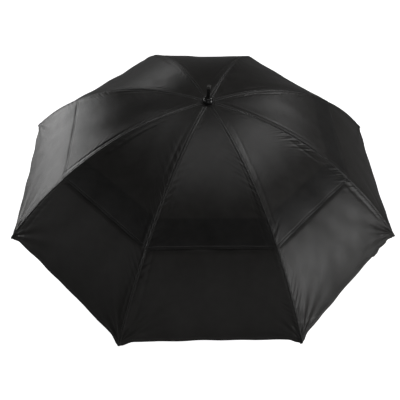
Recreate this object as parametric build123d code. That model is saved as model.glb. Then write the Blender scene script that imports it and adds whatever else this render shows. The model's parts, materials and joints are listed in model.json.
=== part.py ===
from build123d import *
from math import atan2, cos, degrees, hypot, pi, radians, sin
import os

# Vented golf umbrella, open. Millimetres, +Z along the shaft towards the ferrule.
# The origin is the middle of the hand grip's straight stretch, on the shaft's axis.

# Arms: each is an inner rib, a mid-rib bracket, an outer rib, a rib tip and a stretcher
ARM_COUNT = 8
ARM_PITCH_DEG = 360 / ARM_COUNT
FIRST_ARM_DEG = ARM_PITCH_DEG / 2
PIVOT_RADIUS = 11.0
NOTCH_Z = 850.0

# Rib line, measured along the rib from its pivot at the notch; slopes are downwards
INNER_ARC = 360.0
OUTER_ARC = 390.0
ROOT_SLOPE_DEG = -3.5
BRACKET_SLOPE_DEG = 29.0
TIP_SLOPE_DEG = 52.0
CLOSED_CHORD_DEG = 88.0
CLOSED_OUTER_CHORD_DEG = 89.2

# Ribs and stretchers
INNER_ROD_R = 1.9
OUTER_ROD_R = 1.5
STRETCHER_ROD_R = 1.8
EYE_R = 2.2
EYE_HOLE_R = 0.75
EYE_BLADE = 2.4
EYE_BLADE_LENGTH = 12.0
LINK_BLADE = 2.0
LINK_BLADE_LENGTH = 14.0
RING_WIRE_R = 0.6

# Mid-rib bracket, in a frame whose u axis runs outwards along the rib from its socket's mouth
BRACKET_ARC = 320.0
SOCKET_DEPTH = 18.0
SOCKET_R = 2.9
EAR_U = 24.0
EAR_DROP = 11.0
CHEEK_GAP = 2.5
CHEEK_THICKNESS = 1.6
CHEEK_R = 2.6
RIVET_R = 0.8
RIVET_HOLE_R = 0.85
RIVET_HEAD_R = 1.7
RIVET_HEAD_LENGTH = 0.7

# Rib tip
TIP_ARC = 737.0
TIP_LENGTH = 13.0
TIP_R = 2.6
TIP_BALL_R = 3.0
TIP_BORE_DEPTH = 9.0
TIP_EYELET_R = 0.6

# Shaft and hand grip
SHAFT_R = 7.0
SHAFT_WALL = 1.2
SHAFT_BOTTOM_Z = -70.0
GRIP_R = 15.0
GRIP_HALF_STRAIGHT = 50.0
GRIP_TOP_Z = 85.0
GRIP_TOP_R = 12.0
GRIP_HEEL_Z = -74.0
GRIP_HEEL_R = 14.6
GRIP_BOTTOM_Z = -84.0
GRIP_CAP_R = 14.0
GRIP_CAP_THICKNESS = 4.0
COLLAR_R = 11.0
COLLAR_LENGTH = 12.0

# Notch and runner, both toothed rings that hold the rib and stretcher eyes on a ring of wire
TOOTH_R = 13.5
NOTCH_BELOW = 5.0
NOTCH_ABOVE = 3.2
SLOT_FLOOR_R = 8.5
NOTCH_SLOT = 3.0
RUNNER_SLOT = 2.6
WIRE_GROOVE_R = 10.3
WIRE_GROOVE_HEIGHT = 1.3
RUNNER_BORE_R = 7.2
RUNNER_ABOVE = 5.0
RUNNER_BELOW = 42.0
RUNNER_SLEEVE_R = 11.0
RUNNER_FLANGE_LENGTH = 4.0
STOP_PIN_R = 1.2
STOP_PIN_LENGTH = 19.0

# Spring catches, flat blades that stand out of slots in the shaft
CATCH_THICKNESS = 3.0
CATCH_SLOT = 3.4
CATCH_HEIGHT = 26.0
CATCH_REACH = 10.0
CATCH_STEP = 4.0
CATCH_GAP = 0.4
WINDOW_TOP = 25.5
WINDOW_HEIGHT = 12.5
LOW_CATCH_HEIGHT = 10.5

# Ferrule: a cup that clamps the canopy, a spike plugged into the shaft, and its end cap
CUP_BASE = 6.9
CUP_R = 16.0
CUP_HEIGHT = 15.0
CUP_NECK_R = 8.4
SPIKE_R = 6.0
SPIKE_TOP = 62.0
SPIKE_SPIGOT = 14.0
END_CAP_R = 5.8
END_CAP_LENGTH = 9.0

# Canopy: an upper cap with a free hem that overlaps a lower skirt, with a vent between them
CLOTH = 0.5
LOWER_CLOTH_OFFSET = 3.6
UPPER_CLOTH_OFFSET = 4.8
UPPER_START_ARC = -1.5
UPPER_HEM_ARC = 477.0
LOWER_START_ARC = 385.0
LOWER_HEM_ARC = 742.0
ROSETTE_R = 20.0
ROSETTE_HOLE_R = 7.4
CROWN_ROSETTE_Z = 6.2
INNER_ROSETTE_Z = 3.5

# Closure strap, sewn inside the hem beside one rib
STRAP_ARM = 7
STRAP_START = 14.0
STRAP_LENGTH = 95.0
STRAP_WIDTH = 22.0
STRAP_THICKNESS = 1.4
STRAP_INSET = 7.0
STRAP_DROP = 4.0


def arc_end(start, slope_a, slope_b, length):
    """The end of an arc that begins at start and turns from slope_a to slope_b, in radians."""
    bend = (slope_b - slope_a) / length
    return (
        start[0] + (sin(slope_b) - sin(slope_a)) / bend,
        start[1] + (cos(slope_b) - cos(slope_a)) / bend,
    )


def rib_slope(arc):
    """The rib's downward slope at a distance along it, in degrees."""
    if arc <= INNER_ARC:
        return ROOT_SLOPE_DEG + (BRACKET_SLOPE_DEG - ROOT_SLOPE_DEG) * arc / INNER_ARC
    return BRACKET_SLOPE_DEG + (TIP_SLOPE_DEG - BRACKET_SLOPE_DEG) * (arc - INNER_ARC) / OUTER_ARC


def rib_point(arc, offset=0.0):
    """Radius and height above the notch pivots of a point on, or offset above, the rib line."""
    slope = radians(rib_slope(arc))
    if abs(arc) < 1e-9:
        point = (PIVOT_RADIUS, 0.0)
    elif arc <= INNER_ARC:
        point = arc_end((PIVOT_RADIUS, 0.0), radians(ROOT_SLOPE_DEG), slope, arc)
    else:
        knee = rib_point(INNER_ARC)
        point = arc_end(knee, radians(BRACKET_SLOPE_DEG), slope, arc - INNER_ARC)
    return (point[0] + offset * sin(slope), point[1] + offset * cos(slope))


def bracket_point(u, v):
    """A point of the bracket's own frame as radius and height; v is away from the shaft."""
    slope = radians(rib_slope(BRACKET_ARC))
    base = rib_point(BRACKET_ARC)
    return (
        base[0] + u * cos(slope) + v * sin(slope),
        base[1] - u * sin(slope) + v * cos(slope),
    )


def linkage():
    """Link length, fold angles and key points of one arm, from the driving dimensions."""
    ear = bracket_point(EAR_U, -EAR_DROP)
    knee = rib_point(INNER_ARC)
    tip = rib_point(TIP_ARC + TIP_LENGTH)
    reach = ear[0] - PIVOT_RADIUS
    link = hypot(reach, ear[1])
    open_deg = degrees(atan2(-ear[1], reach))
    fold_deg = CLOSED_CHORD_DEG - open_deg
    outer_deg = degrees(atan2(knee[1] - tip[1], tip[0] - knee[0]))
    return {
        "ear": ear,
        "knee": knee,
        "tip": tip,
        "link": link,
        "open_deg": open_deg,
        "fold_deg": fold_deg,
        "flex_deg": CLOSED_OUTER_CHORD_DEG - outer_deg - fold_deg,
        "runner_open": -2 * link * sin(radians(open_deg)),
        "runner_closed": -2 * link * sin(radians(CLOSED_CHORD_DEG)),
    }


def at(point, y=0.0):
    """A point of the arm's plane in space."""
    return (point[0], y, point[1])


def bar(start, end, radius, thickness, y=0.0):
    """A flat bar with round ends, standing in the arm's plane."""
    run = (end[0] - start[0], end[1] - start[1])
    middle = ((start[0] + end[0]) / 2, (start[1] + end[1]) / 2)
    outline = SlotCenterToCenter(hypot(*run), 2 * radius)
    placed = Plane.XZ * (Pos(*middle) * Rot(0, 0, degrees(atan2(run[1], run[0]))) * outline)
    return Pos(0, y, 0) * extrude(placed, amount=thickness / 2, both=True)


def cross_pin(point, radius, length):
    """A cylinder through the arm's plane, at right angles to it."""
    return Plane(origin=at(point), z_dir=(0, 1, 0)) * Cylinder(radius, length)


def straight_rod(start, slope_deg, radius, length):
    """A round rod from start, running outwards and down at a slope."""
    slope = radians(slope_deg)
    frame = Plane(origin=at(start), x_dir=(0, 1, 0), z_dir=(cos(slope), 0, -sin(slope)))
    return extrude(frame * Circle(radius), amount=length)


def curved_rod(arc_a, arc_b, radius):
    """A round rod that follows the rib line between two distances along it."""
    path = ThreePointArc(
        at(rib_point(arc_a)), at(rib_point((arc_a + arc_b) / 2)), at(rib_point(arc_b))
    )
    slope = radians(rib_slope(arc_a))
    frame = Plane(origin=at(rib_point(arc_a)), x_dir=(0, 1, 0), z_dir=(cos(slope), 0, -sin(slope)))
    return sweep(frame * Circle(radius), path=path)


def turned(points):
    """A solid of revolution about the shaft's axis from an outline of radius and height."""
    outline = Polyline(*[(r, 0, z) for r, z in points], close=True)
    return revolve(make_face(outline), axis=Axis.Z, revolution_arc=360)


def disc(radius, low, high, hole=0.0):
    """A round plate about the shaft's axis between two heights, with an optional hole."""
    plate = Pos(0, 0, (low + high) / 2) * Cylinder(radius, high - low)
    if hole > 0:
        plate -= Pos(0, 0, (low + high) / 2) * Cylinder(hole, high - low + 2)
    return plate


def toothed_ring(above, below, bore, slot):
    """A ring with one slot for each arm's eye and a groove round it for the ring of wire."""
    ring = disc(TOOTH_R, -below, above, bore)
    reach = TOOTH_R - SLOT_FLOOR_R + 2
    cutter = Pos(SLOT_FLOOR_R + reach / 2, 0, (above - below) / 2) * Box(
        reach, slot, above + below + 2
    )
    for index in range(ARM_COUNT):
        ring -= Rot(0, 0, FIRST_ARM_DEG + index * ARM_PITCH_DEG) * cutter
    half_groove = WIRE_GROOVE_HEIGHT / 2
    return ring - disc(TOOTH_R + 1, -half_groove, half_groove, WIRE_GROOVE_R)


def ring_wire():
    """The ring of wire that all the eyes turn on."""
    return Torus(PIVOT_RADIUS, RING_WIRE_R)


def inner_rib():
    eye_end = rib_point(EYE_BLADE_LENGTH)
    rod = curved_rod(EYE_BLADE_LENGTH - 3, BRACKET_ARC, INNER_ROD_R)
    tail = straight_rod(
        rib_point(BRACKET_ARC), rib_slope(BRACKET_ARC), INNER_ROD_R, SOCKET_DEPTH
    )
    blade = bar(rib_point(0), eye_end, EYE_R, EYE_BLADE)
    return blade + rod + tail - cross_pin(rib_point(0), EYE_HOLE_R, 2 * EYE_BLADE)


def rib_bracket(points):
    """The socket, two cheeks, and the two rivets that the outer rib and the stretcher turn on."""
    ear, knee = points["ear"], points["knee"]
    slope = rib_slope(BRACKET_ARC)
    block_length = SOCKET_DEPTH + 4
    body = straight_rod(bracket_point(0, 0), slope, SOCKET_R, block_length)
    cheek_y = (CHEEK_GAP + CHEEK_THICKNESS) / 2
    root = bracket_point(block_length - CHEEK_R - 1, 0)
    for side in (-1, 1):
        for start, end in ((root, ear), (root, knee), (ear, knee)):
            body += bar(start, end, CHEEK_R, CHEEK_THICKNESS, side * cheek_y)
    body -= straight_rod(bracket_point(-1, 0), slope, INNER_ROD_R, SOCKET_DEPTH + 1)
    rivets = []
    for centre in (ear, knee):
        shank = CHEEK_GAP + 2 * CHEEK_THICKNESS
        body -= cross_pin(centre, RIVET_R, shank + 2)
        rivet = cross_pin(centre, RIVET_R, shank)
        for side in (-1, 1):
            head = cross_pin(centre, RIVET_HEAD_R, RIVET_HEAD_LENGTH)
            rivet += Pos(0, side * (shank + RIVET_HEAD_LENGTH) / 2, 0) * head
        rivets.append(rivet)
    return [body] + rivets


def outer_rib(points):
    knee = points["knee"]
    blade_end = rib_point(INNER_ARC + LINK_BLADE_LENGTH)
    rod = curved_rod(
        INNER_ARC + LINK_BLADE_LENGTH - 3, TIP_ARC + TIP_BORE_DEPTH - 1, OUTER_ROD_R
    )
    blade = bar(knee, blade_end, EYE_R, LINK_BLADE)
    return blade + rod - cross_pin(knee, RIVET_HOLE_R, 2 * LINK_BLADE)


def rib_tip():
    middle_slope = rib_slope(TIP_ARC + TIP_LENGTH / 2)
    base, end = rib_point(TIP_ARC), rib_point(TIP_ARC + TIP_LENGTH)
    body = straight_rod(base, middle_slope, TIP_R, TIP_LENGTH)
    body += Pos(*at(end)) * Sphere(TIP_BALL_R)
    body -= straight_rod(base, middle_slope, OUTER_ROD_R + 0.05, TIP_BORE_DEPTH)
    return body - cross_pin(end, TIP_EYELET_R, 3 * TIP_BALL_R)


def stretcher(points):
    """A stretcher, drawn from the bracket's ear to its eye on the runner."""
    ear = points["ear"]
    foot = (PIVOT_RADIUS, points["runner_open"])
    step = LINK_BLADE_LENGTH / points["link"]
    near_ear = tuple(a + (b - a) * step for a, b in zip(ear, foot))
    near_foot = tuple(a + (b - a) * (1 - step) for a, b in zip(ear, foot))
    body = bar(ear, near_ear, EYE_R, LINK_BLADE)
    body += bar(near_foot, foot, EYE_R, LINK_BLADE)
    slope = degrees(atan2(foot[1] - ear[1], foot[0] - ear[0]))
    overlap = 2.0
    start = tuple(a + (b - a) * (step - overlap / points["link"]) for a, b in zip(ear, foot))
    length = points["link"] - 2 * (LINK_BLADE_LENGTH - overlap)
    body += straight_rod(start, -slope, STRETCHER_ROD_R, length)
    body -= cross_pin(ear, RIVET_HOLE_R, 2 * LINK_BLADE)
    return body - cross_pin(foot, EYE_HOLE_R, 2 * LINK_BLADE)


def runner():
    """The toothed head, sleeve and thumb flange that slide on the shaft, about its pivots."""
    body = toothed_ring(RUNNER_ABOVE, NOTCH_BELOW, RUNNER_BORE_R, RUNNER_SLOT)
    body += disc(RUNNER_SLEEVE_R, -RUNNER_BELOW, -NOTCH_BELOW, RUNNER_BORE_R)
    body += disc(TOOTH_R, -RUNNER_BELOW, RUNNER_FLANGE_LENGTH - RUNNER_BELOW, RUNNER_BORE_R)
    window = Box(TOOTH_R, CATCH_SLOT + 0.4, WINDOW_HEIGHT)
    return body - Pos(-TOOTH_R / 2 - 4, 0, -WINDOW_TOP - WINDOW_HEIGHT / 2) * window


def catch_blade(step_up):
    """A catch at the +X side with its square step facing up or down, and its long ramp behind."""
    half = CATCH_HEIGHT / 2 if step_up else LOW_CATCH_HEIGHT / 2
    sign = 1 if step_up else -1
    outline = [
        (0, -sign * half),
        (0, sign * half),
        (CATCH_REACH, sign * half),
        (CATCH_REACH, sign * (half - CATCH_STEP)),
        (SHAFT_R - 0.2, -sign * half),
    ]
    face = make_face(Polyline(*[(x, 0, z) for x, z in outline], close=True))
    return extrude(face, amount=CATCH_THICKNESS / 2, dir=(0, 1, 0), both=True)


def catch_heights(points):
    """Centre heights of the upper and the lower catch."""
    top = NOTCH_Z + points["runner_open"] - RUNNER_BELOW - CATCH_GAP - CATCH_HEIGHT / 2
    low = NOTCH_Z + points["runner_closed"] - WINDOW_TOP - WINDOW_HEIGHT / 2
    return top, low


def shaft_tube(points):
    top_z, low_z = catch_heights(points)
    tube = disc(SHAFT_R, SHAFT_BOTTOM_Z, NOTCH_Z + CUP_BASE + CUP_HEIGHT - 2, SHAFT_R - SHAFT_WALL)
    for side, height, length in ((1, top_z, CATCH_HEIGHT), (-1, low_z, LOW_CATCH_HEIGHT)):
        slot = Box(SHAFT_R, CATCH_SLOT, length + 0.6)
        tube -= Pos(side * SHAFT_R, 0, height) * slot
    pin_z = NOTCH_Z + points["runner_open"] + RUNNER_ABOVE + STOP_PIN_R + CATCH_GAP
    return tube - Pos(0, 0, pin_z) * Rot(0, 90, 0) * Cylinder(STOP_PIN_R, 3 * SHAFT_R)


def stop_pin(points):
    pin_z = NOTCH_Z + points["runner_open"] + RUNNER_ABOVE + STOP_PIN_R + CATCH_GAP
    return Pos(0, 0, pin_z) * Rot(0, 90, 0) * Cylinder(STOP_PIN_R, STOP_PIN_LENGTH)


def grip():
    outline = [
        (SHAFT_R, GRIP_BOTTOM_Z + GRIP_CAP_THICKNESS),
        (GRIP_CAP_R, GRIP_BOTTOM_Z + GRIP_CAP_THICKNESS),
        (GRIP_HEEL_R, GRIP_HEEL_Z),
        (GRIP_R, -GRIP_HALF_STRAIGHT),
        (GRIP_R, GRIP_HALF_STRAIGHT),
        (GRIP_TOP_R, GRIP_TOP_Z),
        (SHAFT_R, GRIP_TOP_Z),
    ]
    return turned(outline)


def grip_end_cap():
    """A plug with a domed button face that closes the bottom of the grip."""
    seat = GRIP_BOTTOM_Z + GRIP_CAP_THICKNESS
    plug = disc(SHAFT_R - SHAFT_WALL, seat, SHAFT_BOTTOM_Z + 12)
    plug = plug + disc(SHAFT_R, seat, SHAFT_BOTTOM_Z)
    face = disc(GRIP_CAP_R, GRIP_BOTTOM_Z, seat)
    face = chamfer(face.edges().group_by(Axis.Z)[0], GRIP_CAP_THICKNESS / 2)
    return face + plug


def grip_collar():
    collar = disc(COLLAR_R, GRIP_TOP_Z, GRIP_TOP_Z + COLLAR_LENGTH, SHAFT_R)
    rims = collar.edges().filter_by(GeomType.CIRCLE).filter_by(lambda e: e.radius > SHAFT_R + 1)
    return chamfer(rims, 1.5)


def ferrule_cup():
    """A dished cup over the canopy's centre, with a rounded shoulder up to its neck."""
    low, top = NOTCH_Z + CUP_BASE, NOTCH_Z + CUP_BASE + CUP_HEIGHT
    rim = 2.5
    outline = Polyline(
        (SHAFT_R, 0, top), (SHAFT_R, 0, low), (CUP_R, 0, low), (CUP_R, 0, low + rim)
    )
    shoulder = ThreePointArc((CUP_R, 0, low + rim), (CUP_R - 3.0, 0, top - 4.0), (CUP_NECK_R, 0, top))
    closing = Line((CUP_NECK_R, 0, top), (SHAFT_R, 0, top))
    return revolve(make_face(outline + shoulder + closing), axis=Axis.Z, revolution_arc=360)


def ferrule_spike():
    """The spike, with a spigot that plugs into the top of the shaft and a shoulder on its end."""
    shaft_top = NOTCH_Z + CUP_BASE + CUP_HEIGHT - 2
    bore = SHAFT_R - SHAFT_WALL
    cap_base = NOTCH_Z + SPIKE_TOP - END_CAP_LENGTH + 4
    body = disc(bore, shaft_top - SPIKE_SPIGOT, shaft_top)
    body += disc(SHAFT_R, shaft_top, shaft_top + 2)
    body += disc(SPIKE_R, shaft_top + 2, cap_base)
    return body + disc(SPIKE_R - 2, cap_base, cap_base + 5)


def ferrule_end_cap():
    base = NOTCH_Z + SPIKE_TOP - END_CAP_LENGTH + 4
    cap = disc(END_CAP_R, base, base + END_CAP_LENGTH)
    cap = fillet(cap.edges().group_by(Axis.Z)[-1], 2.5)
    return cap - disc(SPIKE_R - 2, base - 1, base + 5)


def canopy_gore(arc_a, arc_b, offset):
    """One sewn panel: a band along the rib line, straight across, cut at its two ribs."""
    stations = 9
    half_pitch = radians(ARM_PITCH_DEG / 2)
    edges = []
    for height in (offset, offset + CLOTH):
        points = []
        for step in range(stations):
            radius, z = rib_point(arc_a + (arc_b - arc_a) * step / (stations - 1), height)
            points.append((radius * cos(half_pitch), 0, z))
        edges.append(Spline(*points))
    under, over = edges
    ends = [Line(under @ 0, over @ 0), Line(under @ 1, over @ 1)]
    band_face = make_face([under, over] + ends)
    span = rib_point(LOWER_HEM_ARC)[0]
    band = extrude(band_face, amount=span, dir=(0, 1, 0), both=True)
    far = 1.2 * span
    side = far * sin(half_pitch) / cos(half_pitch)
    wedge_face = make_face(Polyline((0, 0, 0), (far, side, 0), (far, -side, 0), close=True))
    wedge = extrude(wedge_face, amount=span, dir=(0, 0, 1), both=True)
    gore = (band & wedge).solids()[0]
    return Pos(0, 0, NOTCH_Z) * gore


def canopy(arc_a, arc_b, offset):
    gore = canopy_gore(arc_a, arc_b, offset)
    return [Rot(0, 0, index * ARM_PITCH_DEG) * gore for index in range(ARM_COUNT)]


def tie_strap():
    """A folded strap that hangs inside the hem, beside the rib that it is sewn to."""
    hem_radius, hem_z = rib_point(LOWER_HEM_ARC)
    half_pitch = radians(ARM_PITCH_DEG / 2)
    hem_x, hem_half = hem_radius * cos(half_pitch), hem_radius * sin(half_pitch)
    strap = Pos(
        hem_x - STRAP_INSET,
        hem_half - STRAP_START - STRAP_LENGTH / 2,
        NOTCH_Z + hem_z - STRAP_DROP - STRAP_WIDTH / 2,
    ) * Box(STRAP_THICKNESS, STRAP_LENGTH, STRAP_WIDTH)
    panel_deg = FIRST_ARM_DEG + STRAP_ARM * ARM_PITCH_DEG - ARM_PITCH_DEG / 2
    return Rot(0, 0, panel_deg) * strap


def save(name, solids):
    """Write one node; several solids make a group of separate pieces."""
    pieces = solids if isinstance(solids, list) else [solids]
    found = [solid for piece in pieces for solid in piece.solids()]
    shape = found[0] if len(found) == 1 else Compound(children=found)
    export_step(shape, f"parts/{name}.step")


def save_root(points):
    """The pieces fixed to the shaft, with the canopy that is clamped at its top."""
    notch = toothed_ring(NOTCH_ABOVE, NOTCH_BELOW, SHAFT_R, NOTCH_SLOT)
    crown_low, inner_low = NOTCH_Z + CROWN_ROSETTE_Z, NOTCH_Z + INNER_ROSETTE_Z
    save("shaft_tube", shaft_tube(points))
    save("stop_pin", stop_pin(points))
    save("hand_grip", grip())
    save("grip_collar", grip_collar())
    save("grip_end_cap", grip_end_cap())
    save("top_notch", Pos(0, 0, NOTCH_Z) * notch)
    save("notch_ring_wire", Pos(0, 0, NOTCH_Z) * ring_wire())
    save("inner_rosette", disc(ROSETTE_R, inner_low, inner_low + CLOTH, ROSETTE_HOLE_R))
    save("upper_canopy", canopy(UPPER_START_ARC, UPPER_HEM_ARC, UPPER_CLOTH_OFFSET))
    save("lower_canopy", canopy(LOWER_START_ARC, LOWER_HEM_ARC, LOWER_CLOTH_OFFSET))
    save("crown_rosette", disc(ROSETTE_R, crown_low, crown_low + CLOTH, ROSETTE_HOLE_R))
    save("ferrule_cup", ferrule_cup())
    save("ferrule_spike", ferrule_spike())
    save("ferrule_end_cap", ferrule_end_cap())


def save_slider(points):
    """The runner, its ring of wire, and the two catches that hold it open and closed."""
    top_z, low_z = catch_heights(points)
    runner_z = NOTCH_Z + points["runner_open"]
    save("runner", Pos(0, 0, runner_z) * runner())
    save("runner_ring_wire", Pos(0, 0, runner_z) * ring_wire())
    save("top_catch", Pos(0, 0, top_z) * catch_blade(True))
    save("bottom_catch", Pos(0, 0, low_z) * Rot(0, 0, 180) * catch_blade(False))


def save_arms(points):
    arm_nodes = {
        "rib_inner": [inner_rib()],
        "rib_bracket": rib_bracket(points),
        "rib_outer": [outer_rib(points)],
        "rib_tip": [rib_tip()],
        "stretcher": [stretcher(points)],
    }
    for index in range(ARM_COUNT):
        place = Pos(0, 0, NOTCH_Z) * Rot(0, 0, FIRST_ARM_DEG + index * ARM_PITCH_DEG)
        for stem, solids in arm_nodes.items():
            save(f"{stem}_{index + 1}", [place * solid for solid in solids])


def main():
    os.makedirs("parts", exist_ok=True)
    points = linkage()
    for name, value in points.items():
        print(name, value)
    save_root(points)
    save_slider(points)
    save_arms(points)
    save("tie_strap", tie_strap())


if __name__ == "__main__":
    main()
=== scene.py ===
"""The looks of a vented golf umbrella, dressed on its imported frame."""

import json
import logging
import math
from dataclasses import dataclass, field
from enum import Enum

import bpy
import numpy as np
from mathutils import Matrix, Vector


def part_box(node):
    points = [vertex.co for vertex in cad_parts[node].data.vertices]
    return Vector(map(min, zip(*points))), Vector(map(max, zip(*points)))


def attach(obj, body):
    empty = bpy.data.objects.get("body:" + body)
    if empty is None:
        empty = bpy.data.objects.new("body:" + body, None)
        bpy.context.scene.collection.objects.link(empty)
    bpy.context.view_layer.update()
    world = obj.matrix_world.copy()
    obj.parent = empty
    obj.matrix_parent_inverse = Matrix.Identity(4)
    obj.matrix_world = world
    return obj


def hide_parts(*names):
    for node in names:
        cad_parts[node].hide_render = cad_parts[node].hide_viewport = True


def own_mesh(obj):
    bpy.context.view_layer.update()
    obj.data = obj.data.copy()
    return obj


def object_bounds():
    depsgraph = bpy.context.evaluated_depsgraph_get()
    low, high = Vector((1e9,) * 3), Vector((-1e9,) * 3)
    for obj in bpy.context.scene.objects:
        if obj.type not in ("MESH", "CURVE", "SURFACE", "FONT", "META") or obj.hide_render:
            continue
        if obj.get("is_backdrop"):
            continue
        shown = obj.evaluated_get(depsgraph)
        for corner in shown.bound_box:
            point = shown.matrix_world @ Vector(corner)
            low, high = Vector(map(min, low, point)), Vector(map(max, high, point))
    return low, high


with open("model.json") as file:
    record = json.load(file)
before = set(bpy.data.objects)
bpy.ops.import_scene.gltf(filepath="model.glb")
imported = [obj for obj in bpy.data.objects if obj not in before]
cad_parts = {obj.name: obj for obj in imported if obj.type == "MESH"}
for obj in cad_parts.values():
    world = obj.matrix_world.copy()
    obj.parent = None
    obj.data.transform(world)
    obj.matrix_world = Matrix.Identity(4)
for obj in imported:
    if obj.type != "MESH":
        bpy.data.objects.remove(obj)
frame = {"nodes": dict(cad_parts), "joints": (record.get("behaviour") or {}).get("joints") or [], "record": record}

LOG = logging.getLogger("umbrella")
ARM_COUNT = 8
ARM_PITCH = 2 * math.pi / ARM_COUNT
HALF_PITCH = ARM_PITCH / 2
MM = 0.001


class Side(Enum):
    """Which way a half panel runs from its rib, seen from above."""

    LEFT = 1
    RIGHT = -1


class Slot(Enum):
    """The record's material slots."""

    SHAFT = "shaft"
    STEEL = "steel"
    GRIP = "grip_foam"
    GLOSS = "gloss_black"
    MOULDED = "moulded_black"
    CAP = "moulded_grey"
    CLOTH = "cloth"
    RIB = "rib_glass_fibre"
    STRETCHER = "stretcher_metal"


# ---------------------------------------------------------------- node graphs


class Graph:
    """A node tree with short ways to add nodes and join them."""

    def __init__(self, tree: bpy.types.NodeTree) -> None:
        """Keep the tree that the nodes go into."""
        self.tree = tree

    def node(self, kind: str, **settings: object) -> bpy.types.Node:
        """Add a node.

        Args:
            kind: The node's type, without its ShaderNode prefix.
            settings: Attributes of the node to set.

        Returns:
            The new node.
        """
        made = self.tree.nodes.new("ShaderNode" + kind)
        for name, value in settings.items():
            setattr(made, name, value)
        return made

    def feed(self, socket: bpy.types.NodeSocket, value: object) -> None:
        """Join an output to a socket, or set the socket to a plain value.

        Args:
            socket: The input socket.
            value: An output socket, a number or a sequence of numbers.
        """
        if isinstance(value, bpy.types.NodeSocket):
            self.tree.links.new(value, socket)
        else:
            socket.default_value = value

    def maths(self, operation: str, *values: object) -> bpy.types.NodeSocket:
        """Add a Math node.

        Args:
            operation: The Math node's operation.
            values: Its inputs, as sockets or numbers.

        Returns:
            The result's socket.
        """
        made = self.node("Math", operation=operation)
        for index, value in enumerate(values):
            self.feed(made.inputs[index], value)
        return made.outputs[0]

    def noise(self, vector: object, scale: float, detail: float = 3.0) -> bpy.types.NodeSocket:
        """Add a noise texture.

        Args:
            vector: The socket that it reads its place from.
            scale: How many features there are to the metre.
            detail: How many finer layers it has.

        Returns:
            The noise's value, from 0 to 1.
        """
        made = self.node("TexNoise")
        self.feed(made.inputs["Vector"], vector)
        made.inputs["Scale"].default_value = scale
        made.inputs["Detail"].default_value = detail
        return made.outputs["Fac"]

    def ramp(self, value: object, low: float, high: float,
             out_low: float = 0.0, out_high: float = 1.0) -> bpy.types.NodeSocket:
        """Stretch a value from one range to another, held at its ends.

        Args:
            value: The socket to stretch.
            low: The value that gives out_low.
            high: The value that gives out_high.
            out_low: The result at low.
            out_high: The result at high.

        Returns:
            The stretched value's socket.
        """
        made = self.node("MapRange")
        self.feed(made.inputs["Value"], value)
        for name, number in (("From Min", low), ("From Max", high),
                             ("To Min", out_low), ("To Max", out_high)):
            made.inputs[name].default_value = number
        return made.outputs["Result"]

    def mix(self, factor: object, first: object, second: object) -> bpy.types.NodeSocket:
        """Mix two colours.

        Args:
            factor: The share of the second colour.
            first: A colour or its socket.
            second: A colour or its socket.

        Returns:
            The mixed colour's socket.
        """
        made = self.node("Mix", data_type="RGBA")
        self.feed(made.inputs["Factor"], factor)
        self.feed(made.inputs["A"], first)
        self.feed(made.inputs["B"], second)
        return made.outputs["Result"]


class EffectGroup:
    """A shader node group that several materials use, made once."""

    title = ""
    inputs: dict[str, tuple[str, object]] = {}
    outputs: dict[str, str] = {}

    @classmethod
    def tree(cls) -> bpy.types.NodeTree:
        """The group's tree, made the first time that it is asked for.

        Returns:
            The tree, with its sockets and nodes.
        """
        found = bpy.data.node_groups.get(cls.title)
        if found is not None:
            return found
        made = bpy.data.node_groups.new(cls.title, "ShaderNodeTree")
        for name, (kind, value) in cls.inputs.items():
            socket = made.interface.new_socket(name, in_out="INPUT", socket_type=kind)
            if value is not None:
                socket.default_value = value
        for name, kind in cls.outputs.items():
            made.interface.new_socket(name, in_out="OUTPUT", socket_type=kind)
        graph = Graph(made)
        entry = made.nodes.new("NodeGroupInput")
        leave = made.nodes.new("NodeGroupOutput")
        cls.fill(graph, entry.outputs, leave.inputs)
        return made

    @classmethod
    def fill(cls, graph: Graph, given: object, result: object) -> None:
        """Build the group's nodes between its inputs and outputs."""
        raise NotImplementedError

    @classmethod
    def place(cls, graph: Graph, **values: object) -> bpy.types.Node:
        """Put the group in a material.

        Args:
            graph: The material's graph.
            values: The group's inputs, with _ for a space in their names.

        Returns:
            The group's node.
        """
        made = graph.node("Group")
        made.node_tree = cls.tree()
        for name, value in values.items():
            graph.feed(made.inputs[name.replace("_", " ")], value)
        return made


FLOAT = "NodeSocketFloat"
VECTOR = "NodeSocketVector"


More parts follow.
